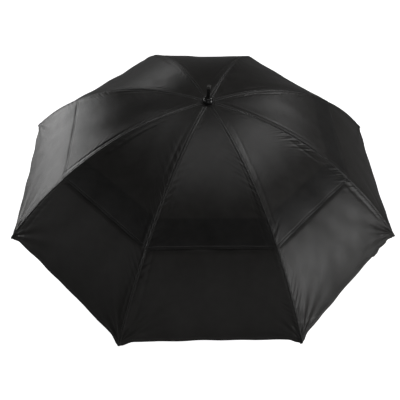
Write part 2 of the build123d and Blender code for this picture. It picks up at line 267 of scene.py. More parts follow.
class Weave(EffectGroup):
    """A plain weave of warp and weft threads, from flat cloth coordinates in metres."""

    title = "plain_weave"
    inputs = {"Cloth": (VECTOR, None), "Thread": (FLOAT, 0.0004), "Slub": (FLOAT, 0.3)}
    outputs = {"Height": FLOAT, "Tone": FLOAT}

    @classmethod
    def fill(cls, graph: Graph, given: object, result: object) -> None:
        """Cross two rows of round threads that pass over each other by turns.

        Args:
            graph: The group's own graph.
            given: Its inputs, by name.
            result: Its outputs, by name.
        """
        split = graph.node("SeparateXYZ")
        graph.feed(split.inputs[0], given["Cloth"])
        across = graph.maths("DIVIDE", split.outputs[0], given["Thread"])
        along = graph.maths("DIVIDE", split.outputs[1], given["Thread"])
        warp = graph.maths("SINE", graph.maths("MULTIPLY", across, math.pi))
        weft = graph.maths("SINE", graph.maths("MULTIPLY", along, math.pi))
        over = graph.maths("MULTIPLY", warp, weft)
        crown = graph.maths("ABSOLUTE", warp)
        fill = graph.maths("ABSOLUTE", weft)
        sum_height = graph.maths("ADD", graph.maths("MULTIPLY", crown, 0.5), graph.maths("MULTIPLY", fill, 0.5))
        height = graph.maths("ADD", sum_height, graph.maths("MULTIPLY", over, 0.35))
        streak = graph.node("Mapping")
        graph.feed(streak.inputs["Vector"], given["Cloth"])
        streak.inputs["Scale"].default_value = (1.0, 0.03, 1.0)
        slub = graph.noise(streak.outputs[0], 1400.0, 2.0)
        centred = graph.maths("SUBTRACT", slub, 0.5)
        graph.feed(result["Height"], height)
        graph.feed(result["Tone"], graph.maths("MULTIPLY", centred, given["Slub"]))


class StitchRow(EffectGroup):
    """A row of thread stitches at one distance from an edge."""

    title = "stitch_row"
    inputs = {"Distance": (FLOAT, 0.0), "Row": (FLOAT, 0.007), "Along": (FLOAT, 0.0),
              "Pitch": (FLOAT, 0.0026), "Thread": (FLOAT, 0.00045)}
    outputs = {"Mask": FLOAT, "Groove": FLOAT}

    @classmethod
    def fill(cls, graph: Graph, given: object, result: object) -> None:
        """Keep a narrow band about the row, broken into stitches along it."""
        off = graph.maths("ABSOLUTE", graph.maths("SUBTRACT", given["Distance"], given["Row"]))
        band = graph.maths("SUBTRACT", 1.0, graph.maths("DIVIDE", off, given["Thread"]))
        near = graph.maths("MAXIMUM", band, 0.0)
        phase = graph.maths("FRACT", graph.maths("DIVIDE", given["Along"], given["Pitch"]))
        middle = graph.maths("ABSOLUTE", graph.maths("SUBTRACT", phase, 0.5))
        dash = graph.ramp(middle, 0.42, 0.34)
        wide = graph.maths("SUBTRACT", 1.0, graph.maths("DIVIDE", off, graph.maths("MULTIPLY", given["Thread"], 5.0)))
        graph.feed(result["Mask"], graph.maths("MULTIPLY", near, dash))
        graph.feed(result["Groove"], graph.maths("MAXIMUM", wide, 0.0))


class Wear(EffectGroup):
    """Fine scratches and rubbed patches over a hard surface."""

    title = "handling_wear"
    inputs = {"Place": (VECTOR, None), "Amount": (FLOAT, 0.5)}
    outputs = {"Rub": FLOAT, "Scratch": FLOAT, "Grain": FLOAT}

    @classmethod
    def fill(cls, graph: Graph, given: object, result: object) -> None:
        """Broad rubbed patches, thin scratches, and an even fine grain."""
        patches = graph.ramp(graph.noise(given["Place"], 70.0, 5.0), 0.52, 0.75)
        stretched = graph.node("Mapping")
        graph.feed(stretched.inputs["Vector"], given["Place"])
        stretched.inputs["Scale"].default_value = (1.0, 1.0, 0.08)
        stretched.inputs["Rotation"].default_value = (0.3, 0.2, 0.0)
        lines = graph.ramp(graph.noise(stretched.outputs[0], 900.0, 2.0), 0.66, 0.72)
        graph.feed(result["Rub"], graph.maths("MULTIPLY", patches, given["Amount"]))
        graph.feed(result["Scratch"], graph.maths("MULTIPLY", lines, given["Amount"]))
        graph.feed(result["Grain"], graph.noise(given["Place"], 2600.0, 3.0))


class Dust(EffectGroup):
    """A thin film of dust that settles on faces that look up."""

    title = "settled_dust"
    inputs = {"Place": (VECTOR, None), "Amount": (FLOAT, 0.2)}
    outputs = {"Mask": FLOAT}

    @classmethod
    def fill(cls, graph: Graph, given: object, result: object) -> None:
        """Gather dust by how far the face looks up, broken by noise."""
        split = graph.node("SeparateXYZ")
        graph.feed(split.inputs[0], graph.node("NewGeometry").outputs["Normal"])
        up = graph.ramp(split.outputs[2], 0.2, 1.0)
        cloud = graph.ramp(graph.noise(given["Place"], 45.0, 6.0), 0.35, 0.8)
        graph.feed(result["Mask"], graph.maths("MULTIPLY", graph.maths("MULTIPLY", up, cloud), given["Amount"]))


# ---------------------------------------------------------------- finishes


def new_material(name: str) -> tuple[bpy.types.Material, Graph, bpy.types.Node]:
    """Start a material with one Principled shader.

    Args:
        name: The material's name.

    Returns:
        The material, its graph and its shader node.
    """
    material = bpy.data.materials.new(name)
    material.use_nodes = True
    material.node_tree.nodes.clear()
    graph = Graph(material.node_tree)
    shader = graph.node("BsdfPrincipled")
    output = graph.node("OutputMaterial")
    graph.feed(output.inputs["Surface"], shader.outputs[0])
    return material, graph, shader


def grey(value: float, warmth: float = 0.0) -> tuple[float, float, float, float]:
    """A near-neutral colour: a brightness, a little warmer or cooler."""
    return (value * (1 + warmth), value, value * (1 - warmth), 1.0)


@dataclass(frozen=True)
class ClothFinish:
    """Black pongee: a fine plain weave with a satin sheen, sewn with black thread."""

    name: str = "black_pongee"
    thread: float = 0.00042
    base: float = 0.011
    light: float = 0.017
    roughness: float = 0.36
    hem_rows: tuple[float, ...] = (0.0075,)
    seam_rows: tuple[float, ...] = (0.0022, 0.0046)

    def build(self) -> bpy.types.Material:
        """Make the cloth: weave, slubs, stitch rows, faint dust, painted shade along the rib seams and painted shade
        over the doubled band.

        Returns:
            The material.
        """
        material, graph, shader = new_material(self.name)
        cloth = graph.node("UVMap", uv_map="cloth").outputs[0]
        place = graph.node("TexCoord").outputs["Object"]
        weave = Weave.place(graph, Cloth=cloth, Thread=self.thread, Slub=0.5)
        split = graph.node("SeparateXYZ")
        graph.feed(split.inputs[0], cloth)
        hem = graph.node("Attribute", attribute_name="hem_distance").outputs["Fac"]
        seam = graph.node("Attribute", attribute_name="seam_distance").outputs["Fac"]
        stitched, grooved = self.rows(graph, split, hem, seam)
        cloud = graph.noise(place, 9.0, 4.0)
        tone = graph.maths("ADD", graph.ramp(cloud, 0.3, 0.7, 0.25, 0.75), weave.outputs["Tone"])
        colour = graph.mix(tone, grey(self.base, 0.08), grey(self.light, 0.08))
        # Painted shade: where the cap lies doubled over the skirt its cloth is darkened, for the light that comes
        # through one layer of cloth but not through two.
        doubled_shade = graph.node("Attribute", attribute_name="doubled_shade").outputs["Fac"]
        colour = graph.mix(graph.maths("MULTIPLY", doubled_shade, 0.75), colour, grey(0.004, 0.02))
        # Painted shade: within about 1.6 mm of the rib seam the cloth is darkened to near black, for the shade in the
        # groove where the half panels meet.
        seam_groove_shade = graph.ramp(seam, 0.0004, 0.0016, 0.85, 0.0)
        colour = graph.mix(seam_groove_shade, colour, grey(0.002, 0.02))
        thread = graph.mix(stitched, colour, grey(0.05, 0.02))
        dust = Dust.place(graph, Place=place, Amount=0.035)
        graph.feed(shader.inputs["Base Color"], graph.mix(dust.outputs[0], thread, grey(0.25, 0.05)))
        rub = graph.ramp(graph.noise(place, 30.0, 4.0), 0.3, 0.7, -0.035, 0.035)
        rough = graph.maths("ADD", self.roughness, graph.maths("ADD", rub, graph.maths("MULTIPLY", stitched, 0.2)))
        graph.feed(shader.inputs["Roughness"], rough)
        bump = graph.node("Bump")
        bump.inputs["Distance"].default_value = 0.00012
        bump.inputs["Strength"].default_value = 0.35
        graph.feed(bump.inputs["Height"], weave.outputs["Height"])
        sewn = graph.node("Bump")
        sewn.inputs["Distance"].default_value = 0.0005
        sewn.inputs["Strength"].default_value = 0.8
        relief = graph.maths("SUBTRACT", graph.maths("MULTIPLY", stitched, 0.8), grooved)
        graph.feed(sewn.inputs["Height"], relief)
        graph.feed(sewn.inputs["Normal"], bump.outputs[0])
        graph.feed(shader.inputs["Normal"], sewn.outputs[0])
        shader.inputs["Specular IOR Level"].default_value = 0.5
        shader.inputs["Sheen Weight"].default_value = 0.06
        shader.inputs["Sheen Roughness"].default_value = 0.4
        return material

    def rows(self, graph: Graph, split: bpy.types.Node, hem: object,
             seam: object) -> tuple[bpy.types.NodeSocket, bpy.types.NodeSocket]:
        """Sew the stitch rows beside the hem and the seams.

        Args:
            graph: The material's graph.
            split: The node that gives the flat cloth coordinates one by one.
            hem: Distance from the hem.
            seam: Distance from the rib's seam.

        Returns:
            The mask of the thread, and the groove that it pulls in the cloth.
        """
        stitched: object = 0.0
        grooved: object = 0.0
        plans = [(hem, row, split.outputs[0]) for row in self.hem_rows]
        plans += [(seam, row, split.outputs[1]) for row in self.seam_rows]
        for distance, row, along in plans:
            placed = StitchRow.place(graph, Distance=distance, Row=row, Along=along)
            stitched = graph.maths("MAXIMUM", placed.outputs["Mask"], stitched)
            grooved = graph.maths("MAXIMUM", placed.outputs["Groove"], grooved)
        return stitched, grooved


@dataclass(frozen=True)
class HardFinish:
    """A hard finish, moulded, lacquered or drawn, with grain, wear and a little dust."""

    name: str
    colour: tuple[float, float, float, float]
    worn: tuple[float, float, float, float]
    roughness: float
    metallic: float = 0.0
    coat: float = 0.0
    grain: float = 0.3
    wear: float = 0.5
    dust: float = 0.1

    def build(self) -> bpy.types.Material:
        """Make the material from its colour, its worn colour and its surface values.

        Returns:
            The material.
        """
        material, graph, shader = new_material(self.name)
        place = graph.node("TexCoord").outputs["Object"]
        wear = Wear.place(graph, Place=place, Amount=self.wear)
        dust = Dust.place(graph, Place=place, Amount=self.dust)
        marked = graph.maths("MAXIMUM", graph.maths("MULTIPLY", wear.outputs["Rub"], 0.35),
                             wear.outputs["Scratch"])
        tinted = graph.mix(marked, self.colour, self.worn)
        graph.feed(shader.inputs["Base Color"], graph.mix(dust.outputs[0], tinted, grey(0.3, 0.06)))
        rough = graph.maths("ADD", self.roughness, graph.maths("MULTIPLY", wear.outputs["Rub"], 0.18))
        rough = graph.maths("ADD", rough, graph.maths("MULTIPLY", dust.outputs[0], 0.5))
        graph.feed(shader.inputs["Roughness"], rough)
        shader.inputs["Metallic"].default_value = self.metallic
        shader.inputs["Coat Weight"].default_value = self.coat
        shader.inputs["Coat Roughness"].default_value = 0.08
        bump = graph.node("Bump")
        bump.inputs["Distance"].default_value = 0.0001
        bump.inputs["Strength"].default_value = self.grain
        relief = graph.maths("SUBTRACT", wear.outputs["Grain"], wear.outputs["Scratch"])
        graph.feed(bump.inputs["Height"], relief)
        graph.feed(shader.inputs["Normal"], bump.outputs[0])
        return material


@dataclass(frozen=True)
class FoamFinish:
    """Closed-cell foam with small open pores and a matt, slightly polished hold area."""

    name: str = "grip_foam"
    colour: float = 0.02
    pores: float = 900.0

    def build(self) -> bpy.types.Material:
        """Make the foam: pores, soft colour clouds and a rubbed band.

        Returns:
            The material.
        """
        material, graph, shader = new_material(self.name)
        place = graph.node("TexCoord").outputs["Object"]
        cells = graph.node("TexVoronoi")
        graph.feed(cells.inputs["Vector"], place)
        cells.inputs["Scale"].default_value = self.pores
        pore = graph.ramp(cells.outputs["Distance"], 0.15, 0.5)
        cloud = graph.noise(place, 60.0, 4.0)
        tone = graph.mix(cloud, grey(self.colour * 0.7), grey(self.colour * 1.5, 0.03))
        graph.feed(shader.inputs["Base Color"], graph.mix(pore, grey(self.colour * 0.4), tone))
        graph.feed(shader.inputs["Roughness"], graph.ramp(cloud, 0.3, 0.7, 0.72, 0.9))
        bump = graph.node("Bump")
        bump.inputs["Distance"].default_value = 0.0004
        bump.inputs["Strength"].default_value = 0.6
        graph.feed(bump.inputs["Height"], pore)
        graph.feed(shader.inputs["Normal"], bump.outputs[0])
        shader.inputs["Sheen Weight"].default_value = 0.1
        return material


@dataclass(frozen=True)
class FibreFinish:
    """Pultruded glass-fibre rod: long fine fibres under a satin black skin."""

    name: str = "glass_fibre"

    def build(self) -> bpy.types.Material:
        """Make the rod: streaks along it, a soft gloss and a few paler fibres.

        Returns:
            The material.
        """
        material, graph, shader = new_material(self.name)
        place = graph.node("TexCoord").outputs["Object"]
        streak = graph.noise(place, 1100.0, 5.0)
        fibres = graph.ramp(streak, 0.55, 0.8)
        cloud = graph.noise(place, 40.0, 3.0)
        base = graph.mix(cloud, grey(0.012), grey(0.026))
        graph.feed(shader.inputs["Base Color"], graph.mix(fibres, base, grey(0.06, 0.03)))
        graph.feed(shader.inputs["Roughness"], graph.ramp(cloud, 0.3, 0.7, 0.24, 0.36))
        bump = graph.node("Bump")
        bump.inputs["Distance"].default_value = 0.0001
        bump.inputs["Strength"].default_value = 0.3
        graph.feed(bump.inputs["Height"], streak)
        graph.feed(shader.inputs["Normal"], bump.outputs[0])
        return material


def build_finishes() -> dict[Slot, bpy.types.Material]:
    """Make every material of the umbrella.

    Returns:
        Each slot's material.
    """
    black = grey(0.012)
    finishes = {
        Slot.CLOTH: ClothFinish(),
        Slot.GRIP: FoamFinish(),
        Slot.RIB: FibreFinish(),
        Slot.SHAFT: HardFinish("anodised_shaft", grey(0.018), grey(0.2), 0.32, 0.55, 0.0, 0.25, 0.35, 0.08),
        Slot.STEEL: HardFinish("spring_steel", grey(0.5, 0.01), grey(0.3, 0.05), 0.3, 1.0, 0.0, 0.3, 0.5, 0.05),
        Slot.GLOSS: HardFinish("lacquered_black", black, grey(0.06), 0.16, 0.0, 0.6, 0.08, 0.25, 0.06),
        Slot.MOULDED: HardFinish("moulded_nylon", grey(0.02), grey(0.06), 0.5, 0.0, 0.0, 0.5, 0.4, 0.12),
        Slot.CAP: HardFinish("moulded_cap", grey(0.06, 0.02), grey(0.12), 0.4, 0.0, 0.0, 0.4, 0.5, 0.1),
        Slot.STRETCHER: HardFinish("enamelled_channel", grey(0.02), grey(0.25), 0.28, 0.4, 0.2, 0.2, 0.45, 0.1),
    }
    return {slot: finish.build() for slot, finish in finishes.items()}


# ---------------------------------------------------------------- the rib line and its cloth


@dataclass(frozen=True)
class RibLine:
    """The curve of every rib, from its pivot at the notch to its tip, as two arcs."""

    root_radius: float
    root_height: float
    inner_arc: float = 0.360
    outer_arc: float = 0.390
    root_slope: float = math.radians(-3.5)
    knee_slope: float = math.radians(29.0)
    tip_slope: float = math.radians(52.0)

    def slope(self, arc: np.ndarray) -> np.ndarray:
        """The rib's downward slope at distances along it, in radians."""
        inner = self.root_slope + (self.knee_slope - self.root_slope) * arc / self.inner_arc
        outer = self.knee_slope + (self.tip_slope - self.knee_slope) * (arc - self.inner_arc) / self.outer_arc
        return np.where(arc <= self.inner_arc, inner, outer)

    def point(self, arc: np.ndarray, offset: np.ndarray | float = 0.0) -> tuple[np.ndarray, np.ndarray]:
        """Points on the rib line or above it.

        Args:
            arc: Distances along the rib from its pivot.
            offset: Height above the rib line, at right angles to it.

        Returns:
            The points' distances from the shaft's axis, and their heights.
        """
        inner_bend = (self.knee_slope - self.root_slope) / self.inner_arc
        outer_bend = (self.tip_slope - self.knee_slope) / self.outer_arc
        slope = self.slope(arc)
        radius = self.root_radius + (np.sin(slope) - math.sin(self.root_slope)) / inner_bend
        height = self.root_height + (np.cos(slope) - math.cos(self.root_slope)) / inner_bend
        knee_radius = self.root_radius + (math.sin(self.knee_slope) - math.sin(self.root_slope)) / inner_bend
        knee_height = self.root_height + (math.cos(self.knee_slope) - math.cos(self.root_slope)) / inner_bend
        far_radius = knee_radius + (np.sin(slope) - math.sin(self.knee_slope)) / outer_bend
        far_height = knee_height + (np.cos(slope) - math.cos(self.knee_slope)) / outer_bend
        inside = arc <= self.inner_arc
        radius = np.where(inside, radius, far_radius)
        height = np.where(inside, height, far_height)
        return radius + offset * np.sin(slope), height + offset * np.cos(slope)


def smooth(value: np.ndarray, low: float, high: float) -> np.ndarray:
    """A soft step from 0 at low to 1 at high."""
    t = np.clip((value - low) / (high - low), 0.0, 1.0)
    return t * t * (3 - 2 * t)


def mesh_object(name: str, mesh: bpy.types.Mesh, material: bpy.types.Material) -> bpy.types.Object:
    """Put a mesh in the scene with its material.

    Args:
        name: The piece's name.
        mesh: Its mesh, in the frame's metres.
        material: Its finish.

    Returns:
        The new object.
    """
    made = bpy.data.objects.new(name, mesh)
    bpy.context.scene.collection.objects.link(made)
    mesh.materials.append(material)
    return made


@dataclass
class ClothGrid:
    """A grid of cloth points with its flat coordinates and its distances from the edges."""

    points: np.ndarray
    normals: np.ndarray
    flat: np.ndarray
    hem: np.ndarray
    seam: np.ndarray
    # The arc past which the cloth lies doubled and is given painted shade.
    doubled_shade: float = 10.0
    flip: bool = False

    def mesh(self, name: str) -> bpy.types.Mesh:
        """Make the grid's mesh, with a UV layer in metres, its distances as attributes and a mask for the painted
        shade over the doubled band.

        Args:
            name: The mesh's name.

        Returns:
            The mesh.
        """
        rows, columns = self.points.shape[:2]
        index = np.arange(rows * columns).reshape(rows, columns)
        corners = [index[:-1, :-1], index[1:, :-1], index[1:, 1:], index[:-1, 1:]]
        if self.flip:
            corners.reverse()
        faces = np.stack(corners, axis=-1).reshape(-1, 4)
        mesh = bpy.data.meshes.new(name)
        mesh.from_pydata(self.points.reshape(-1, 3).tolist(), [], faces.tolist())
        layer = mesh.uv_layers.new(name="cloth")
        uv = self.flat.reshape(-1, 2)[faces.ravel()]
        layer.data.foreach_set("uv", uv.astype(np.float32).ravel())
        # Mask of the painted shade over the doubled band: it rises to 1 just past the arc where the cloth starts to
        # lie doubled.
        beyond = np.clip((self.flat[..., 1] - self.doubled_shade) / 0.0025, 0.0, 1.0)
        marks = (("hem_distance", self.hem), ("seam_distance", self.seam), ("doubled_shade", beyond))
        for label, values in marks:
            attribute = mesh.attributes.new(label, "FLOAT", "POINT")
            attribute.data.foreach_set("value", values.astype(np.float32).ravel())
        mesh.shade_smooth()
        mesh.normals_split_custom_set_from_vertices(self.normals.reshape(-1, 3).tolist())
        mesh.update()
        return mesh


def grid_normals(points: np.ndarray) -> np.ndarray:
    """Unit normals of a grid of points, from its rows and columns."""
    down = np.gradient(points, axis=0)
    across = np.gradient(points, axis=1)
    normal = np.cross(down, across)
    length = np.linalg.norm(normal, axis=-1, keepdims=True)
    return normal / np.maximum(length, 1e-12)


@dataclass(frozen=True)
class Creases:
    """The small shapes that sewing and stretching leave in one panel."""

    seed: int
    pucker: float = 0.0013
    pull: float = 0.0028
    swell: float = 0.0010
    furrow: float = 0.0010
    gather: float = 0.00022

    def puckers(self, arc: np.ndarray, seam: np.ndarray, side: Side) -> np.ndarray:
        """Short gathers that run off the rib's seam, slanted towards the hem."""
        random = np.random.RandomState(self.seed * 7 + side.value + 1)
        total = np.zeros(np.broadcast(arc, seam).shape)
        for _ in range(9):
            length = random.uniform(0.010, 0.034)
            reach = random.uniform(0.008, 0.024)
            slant = random.uniform(0.3, 1.3)
            phase = random.uniform(0, 2 * math.pi)
            swell = 0.5 + 0.5 * np.sin(arc * random.uniform(18, 45) + random.uniform(0, 6))
            wave = np.sin(2 * math.pi * (arc + slant * seam) / length + phase)
            total += wave * swell * (seam / 0.003) / (1 + seam / 0.003) * np.exp(-seam / reach)
        return self.pucker * total / 3

    def pulls(self, from_tip: np.ndarray, seam: np.ndarray, side: Side) -> np.ndarray:
        """Folds that fan out of the rib's tip, where the cloth is tied down."""
        random = np.random.RandomState(self.seed * 11 + side.value + 1)
        distance = np.hypot(from_tip, seam)
        turn = np.arctan2(seam, np.maximum(from_tip, 1e-4))
        total = np.zeros_like(distance)
        for folds in (6.0, 9.5, 15.0):
            phase = random.uniform(0, 2 * math.pi)
            wave = np.sin(folds * turn + phase) * np.sin(np.clip(turn, 0, math.pi / 2) * 2) ** 0.5
            total += wave * random.uniform(0.5, 1.0)
        fade = np.exp(-distance / 0.075) * distance / (distance + 0.018)
        return self.pull * total * fade

    def swells(self, arc: np.ndarray, across: np.ndarray, seam: np.ndarray) -> np.ndarray:
        """Broad shallow waves of slack cloth in the middle of the panel."""
        random = np.random.RandomState(self.seed * 13 + 5)
        total = np.zeros(np.broadcast(arc, across).shape)
        for _ in range(6):
            heading = random.uniform(-0.5, 0.5) + math.pi / 2
            length = random.uniform(0.07, 0.20)
            phase = random.uniform(0, 2 * math.pi)
            run = arc * math.cos(heading) + across * math.sin(heading)
            total += np.sin(2 * math.pi * run / length + phase) * length / 0.2
        return self.swell * total / 2 * (1 - np.exp(-seam / 0.035))

    def furrows(self, arc: np.ndarray, seam: np.ndarray, side: Side) -> np.ndarray:
        """Long shallow furrows beside the rib, where the seam is tighter than the cloth."""
        random = np.random.RandomState(self.seed * 17 + side.value + 1)
        total = np.zeros(np.broadcast(arc, seam).shape)
        for _ in range(3):
            place = random.uniform(0.007, 0.024)
            width = random.uniform(0.003, 0.006)
            wander = 0.004 * np.sin(arc * random.uniform(8, 20) + random.uniform(0, 6))
            strength = np.clip(np.sin(arc * random.uniform(9, 16) + random.uniform(0, 6)), 0, 1)
            total -= strength * np.exp(-((seam - place - wander) / width) ** 2)
        return self.furrow * total

    def gathers(self, arc: np.ndarray, share: np.ndarray) -> np.ndarray:
        """Radial pleats round the crown, where the points of the panels are clamped."""
        wave = np.cos(5 * math.pi * share) + 0.5 * np.cos(9 * math.pi * share)
        return self.gather * wave * np.exp(-arc / 0.028) * smooth(arc, 0.004, 0.014)


@dataclass(frozen=True)
class ClothLayer:
    """One layer of the canopy: where it starts and ends, and how it hangs between its ribs."""

    name: str
    start: float
    hem: float
    offset: float
    scallop: float
    sag: float
    lift: float
    hem_pull: float
    corner: float = 0.0
    # The arc from which this layer lies doubled over the other and is given painted shade.
    doubled_from: float = 10.0
    crown_lift: float = 0.0

    def drop(self, arc: np.ndarray) -> np.ndarray:
        """How far the middle of a panel hangs below the straight line between its ribs."""
        return self.sag * np.sin(np.clip(arc / 0.60, 0, 1.25) * math.pi / 1.25 * 0.8) ** 1.3

    def lift_at(self, to_hem: np.ndarray) -> np.ndarray:
        """How far the free hem stands off in the middle of a panel."""
        return self.lift * np.exp(-to_hem / 0.05)


@dataclass(frozen=True)
class HalfPanel:
    """Half a panel of one layer, from its rib to the panel's middle."""

    layer: ClothLayer
    line: RibLine
    arm: int
    side: Side
    low: float
    high: float
    creases: Creases
    strapped: bool = False
    low_slant: float = 0.0
    high_slant: float = 0.0
    step: float = 0.0035

    @property
    def panel_angle(self) -> float:
        """The direction of the panel's middle, as an angle about the shaft."""
        return HALF_PITCH + (self.arm - 1) * ARM_PITCH + self.side.value * HALF_PITCH

    def columns(self) -> np.ndarray:
        """Shares of the half panel's width, close together beside the rib, with one past its middle."""
        count = 44
        even = np.linspace(0, 1, count)
        shares = even ** 1.9
        beyond = 2 - shares[-2]
        return np.append(shares, beyond)

    def rows(self, columns: np.ndarray) -> np.ndarray:
        """Shares of the way from the layer's start to its hem, with one row past each cut end.

        Args:
            columns: Shares of the half panel's width, since a cut end may slant across it.

        Returns:
            A share for each row and column.
        """
        count = max(8, int((self.high - self.low) / self.step))
        along = np.linspace(0, 1, count)
        before = [-along[1]] if self.low > self.layer.start + 1e-6 else []
        after = [1 + along[1]] if self.high < self.layer.hem - 1e-6 else []
        along = np.concatenate([before, along, after])[:, None]
        across = 1 - np.abs(1 - columns[None, :])
        low = self.low + self.low_slant * across
        high = self.high + self.high_slant * across
        return (low + along * (high - low) - self.layer.start) / (self.layer.hem - self.layer.start)

    def surface(self, shares: np.ndarray, columns: np.ndarray) -> dict[str, np.ndarray]:
        """Where the cloth lies.

        Args:
            shares: Shares of the way to the hem, for each row and column.
            columns: Shares of the half panel's width, one for each column.

        Returns:
            The grid's points, its flat coordinates and its distances from hem and seam.
        """
        layer, line = self.layer, self.line
        sideways = 1 - columns[None, :]
        middle = 1 - sideways ** 2
        hem_half = float(line.point(np.array(layer.hem), layer.offset)[0]) * math.sin(HALF_PITCH)
        from_rib = np.abs(columns[None, :]) * hem_half
        corner = layer.corner * (1 - smooth(from_rib, 0.008, 0.036))
        hem_arc = layer.hem + corner - layer.scallop * middle + self.strap_kink(from_rib)
        arc = layer.start + shares * (hem_arc - layer.start)
        rib_radius, rib_height = line.point(arc, layer.offset)
        half = rib_radius * math.sin(HALF_PITCH)
        seam = np.abs(columns[None, :]) * half
        across = sideways * half * self.side.value
        slope = np.arctan2(np.sin(line.slope(arc)), np.cos(line.slope(arc)) * math.cos(HALF_PITCH))
        to_hem = np.maximum(hem_arc - arc, 0.0)
        rise = -layer.drop(arc) * middle + layer.lift_at(to_hem) * middle
        rise = rise + self.fine_shape(arc, across, seam, to_hem)
        near = np.exp(-seam / 0.005)
        rib_slope = line.slope(arc)
        radial = rise * near * np.sin(rib_slope)
        x = rib_radius * math.cos(HALF_PITCH) + rise * (1 - near) * np.sin(slope)
        x = x + radial * math.cos(HALF_PITCH)
        z = rib_height + rise * ((1 - near) * np.cos(slope) + near * np.cos(rib_slope))
        angle = self.panel_angle
        flat_across = -across - radial * math.sin(HALF_PITCH) * self.side.value
        points = np.stack([
            x * math.cos(angle) + flat_across * -math.sin(angle),
            x * math.sin(angle) + flat_across * math.cos(angle),
            z,
        ], axis=-1)
        flat = np.stack([across + 0 * arc, arc + 0 * across], axis=-1)
        return {"points": points, "flat": flat, "hem": to_hem, "seam": seam + 0 * arc}

    def strap_kink(self, from_rib: np.ndarray) -> np.ndarray:
        """How the closure strap behind the hem pushes it out, beside the rib that the strap is sewn to."""
        if not self.strapped:
            return np.zeros_like(from_rib)
        first = smooth(from_rib, 0.040, 0.046) * (1 - smooth(from_rib, 0.058, 0.085))
        second = smooth(from_rib, 0.080, 0.098) * (1 - smooth(from_rib, 0.118, 0.124))
        return 0.0042 * first + 0.0048 * second

    def fine_shape(self, arc: np.ndarray, across: np.ndarray, seam: np.ndarray,
                   to_hem: np.ndarray) -> np.ndarray:
        """The panel's creases, seam welt, corner patch and fluttering hem, as a rise.

        Args:
            arc: Distance along the rib from its root.
            across: Distance from the panel's middle.
            seam: Distance from the rib.
            to_hem: Distance to the hem.

        Returns:
            How far the cloth stands off its smooth shape, at each point.
        """
        creases = self.creases
        tied = smooth(arc, 0.0, 0.06)
        own = 1 - smooth(seam / (seam + np.abs(across) + 1e-9), 0.7, 1.0)
        slack = smooth(arc, 0.03, 0.34) * 0.85 + 0.15
        rise = creases.puckers(arc, seam, self.side) * tied * own * slack
        rise = rise + creases.swells(arc, across, seam) * tied
        rise = rise + creases.furrows(arc, seam, self.side) * tied * own * slack
        rise = rise + 0.0004 * np.exp(-(seam / 0.0030) ** 4)
        rise = rise - 0.0003 * np.exp(-((seam - 0.0046) / 0.0014) ** 2)
        if self.layer.crown_lift > 0:
            rise = rise + self.layer.crown_lift * np.exp(-(arc / 0.03) ** 2)
            rise = rise + creases.gathers(np.maximum(arc, 0.0), np.abs(across) / (np.abs(across) + seam + 1e-9))
        if self.layer.hem_pull > 0:
            under_cap = 1 - smooth(arc, 0.462, 0.492)
            rise = rise - 0.0042 * under_cap * (1 - np.exp(-seam / 0.02))
            over_tip = smooth(arc, 0.722, 0.738) * np.exp(-(seam / 0.006) ** 2)
            rise = rise + 0.0016 * over_tip
            rise = rise + creases.pulls(self.layer.hem - arc, seam, self.side) * self.layer.hem_pull * own
            edge = (self.layer.hem - arc) + 0.55 * seam
            rise = rise + 0.0006 * (1 - smooth(edge, 0.052, 0.055))
        flutter = np.sin(2 * math.pi * across / 0.105 + self.creases.seed)
        return rise + 0.0008 * flutter * np.exp(-to_hem / 0.02) * smooth(seam, 0.0, 0.05)

    def grid(self) -> ClothGrid:
        """The half panel's grid, with its hem folded under where it reaches the hem."""
        columns = self.columns()
        made = self.surface(self.rows(columns), columns)
        points, flat, hem, seam = made["points"], made["flat"], made["hem"], made["seam"]
        trim_top = 1 if self.low > self.layer.start + 1e-6 else 0
        trim_end = 1 if self.high < self.layer.hem - 1e-6 else 0
        if trim_end == 0:
            points, flat, hem, seam = self.fold_hem(points, flat, hem, seam)
        normals = grid_normals(points) * self.side.value
        stop = points.shape[0] - trim_end
        rows, cols = slice(trim_top, stop), slice(0, points.shape[1] - 1)
        return ClothGrid(points[rows, cols], normals[rows, cols], flat[rows, cols],
                         hem[rows, cols], seam[rows, cols], self.layer.doubled_from, self.side is Side.RIGHT)

    def fold_hem(self, points: np.ndarray, flat: np.ndarray, hem: np.ndarray,
                 seam: np.ndarray) -> tuple[np.ndarray, ...]:
        """Turn the cloth's edge under and back, as a sewn hem is.

        Args:
            points: The grid's points.
            flat: Its flat coordinates.
            hem: Its distances to the hem.
            seam: Its distances from the rib.

        Returns:
            The same four grids with the folded rows added.
        """
        normal = grid_normals(points)[-1] * self.side.value
        outward = points[-1] - points[-2]
        outward /= np.linalg.norm(outward, axis=-1, keepdims=True)
        beside = np.exp(-(seam[-1] / 0.008) ** 2)[:, None] * (1.0 if self.layer.corner else 0.0)
        extra = []
        for out, down, back in ((0.0005, 0.0002, 0.0), (0.0006, 0.0007, 0.0), (0.0, 0.0011, 0.0),
                                (-0.004, 0.0012, 0.004), (-0.010, 0.0012, 0.010)):
            deeper = down * (1 + 5.5 * beside)
            further = out + 0.0012 * beside if back == 0.0 else out
            extra.append((points[-1] + outward * further - normal * deeper, back))
        rows = [points] + [row[None] for row, _ in extra]
        flats = [flat] + [(flat[-1] - np.array([0.0, back]))[None] for _, back in extra]
        hems = [hem] + [np.full_like(hem[-1], back)[None] for _, back in extra]
        seams = [seam] + [seam[-1][None] for _ in extra]
        return tuple(np.concatenate(part) for part in (rows, flats, hems, seams))

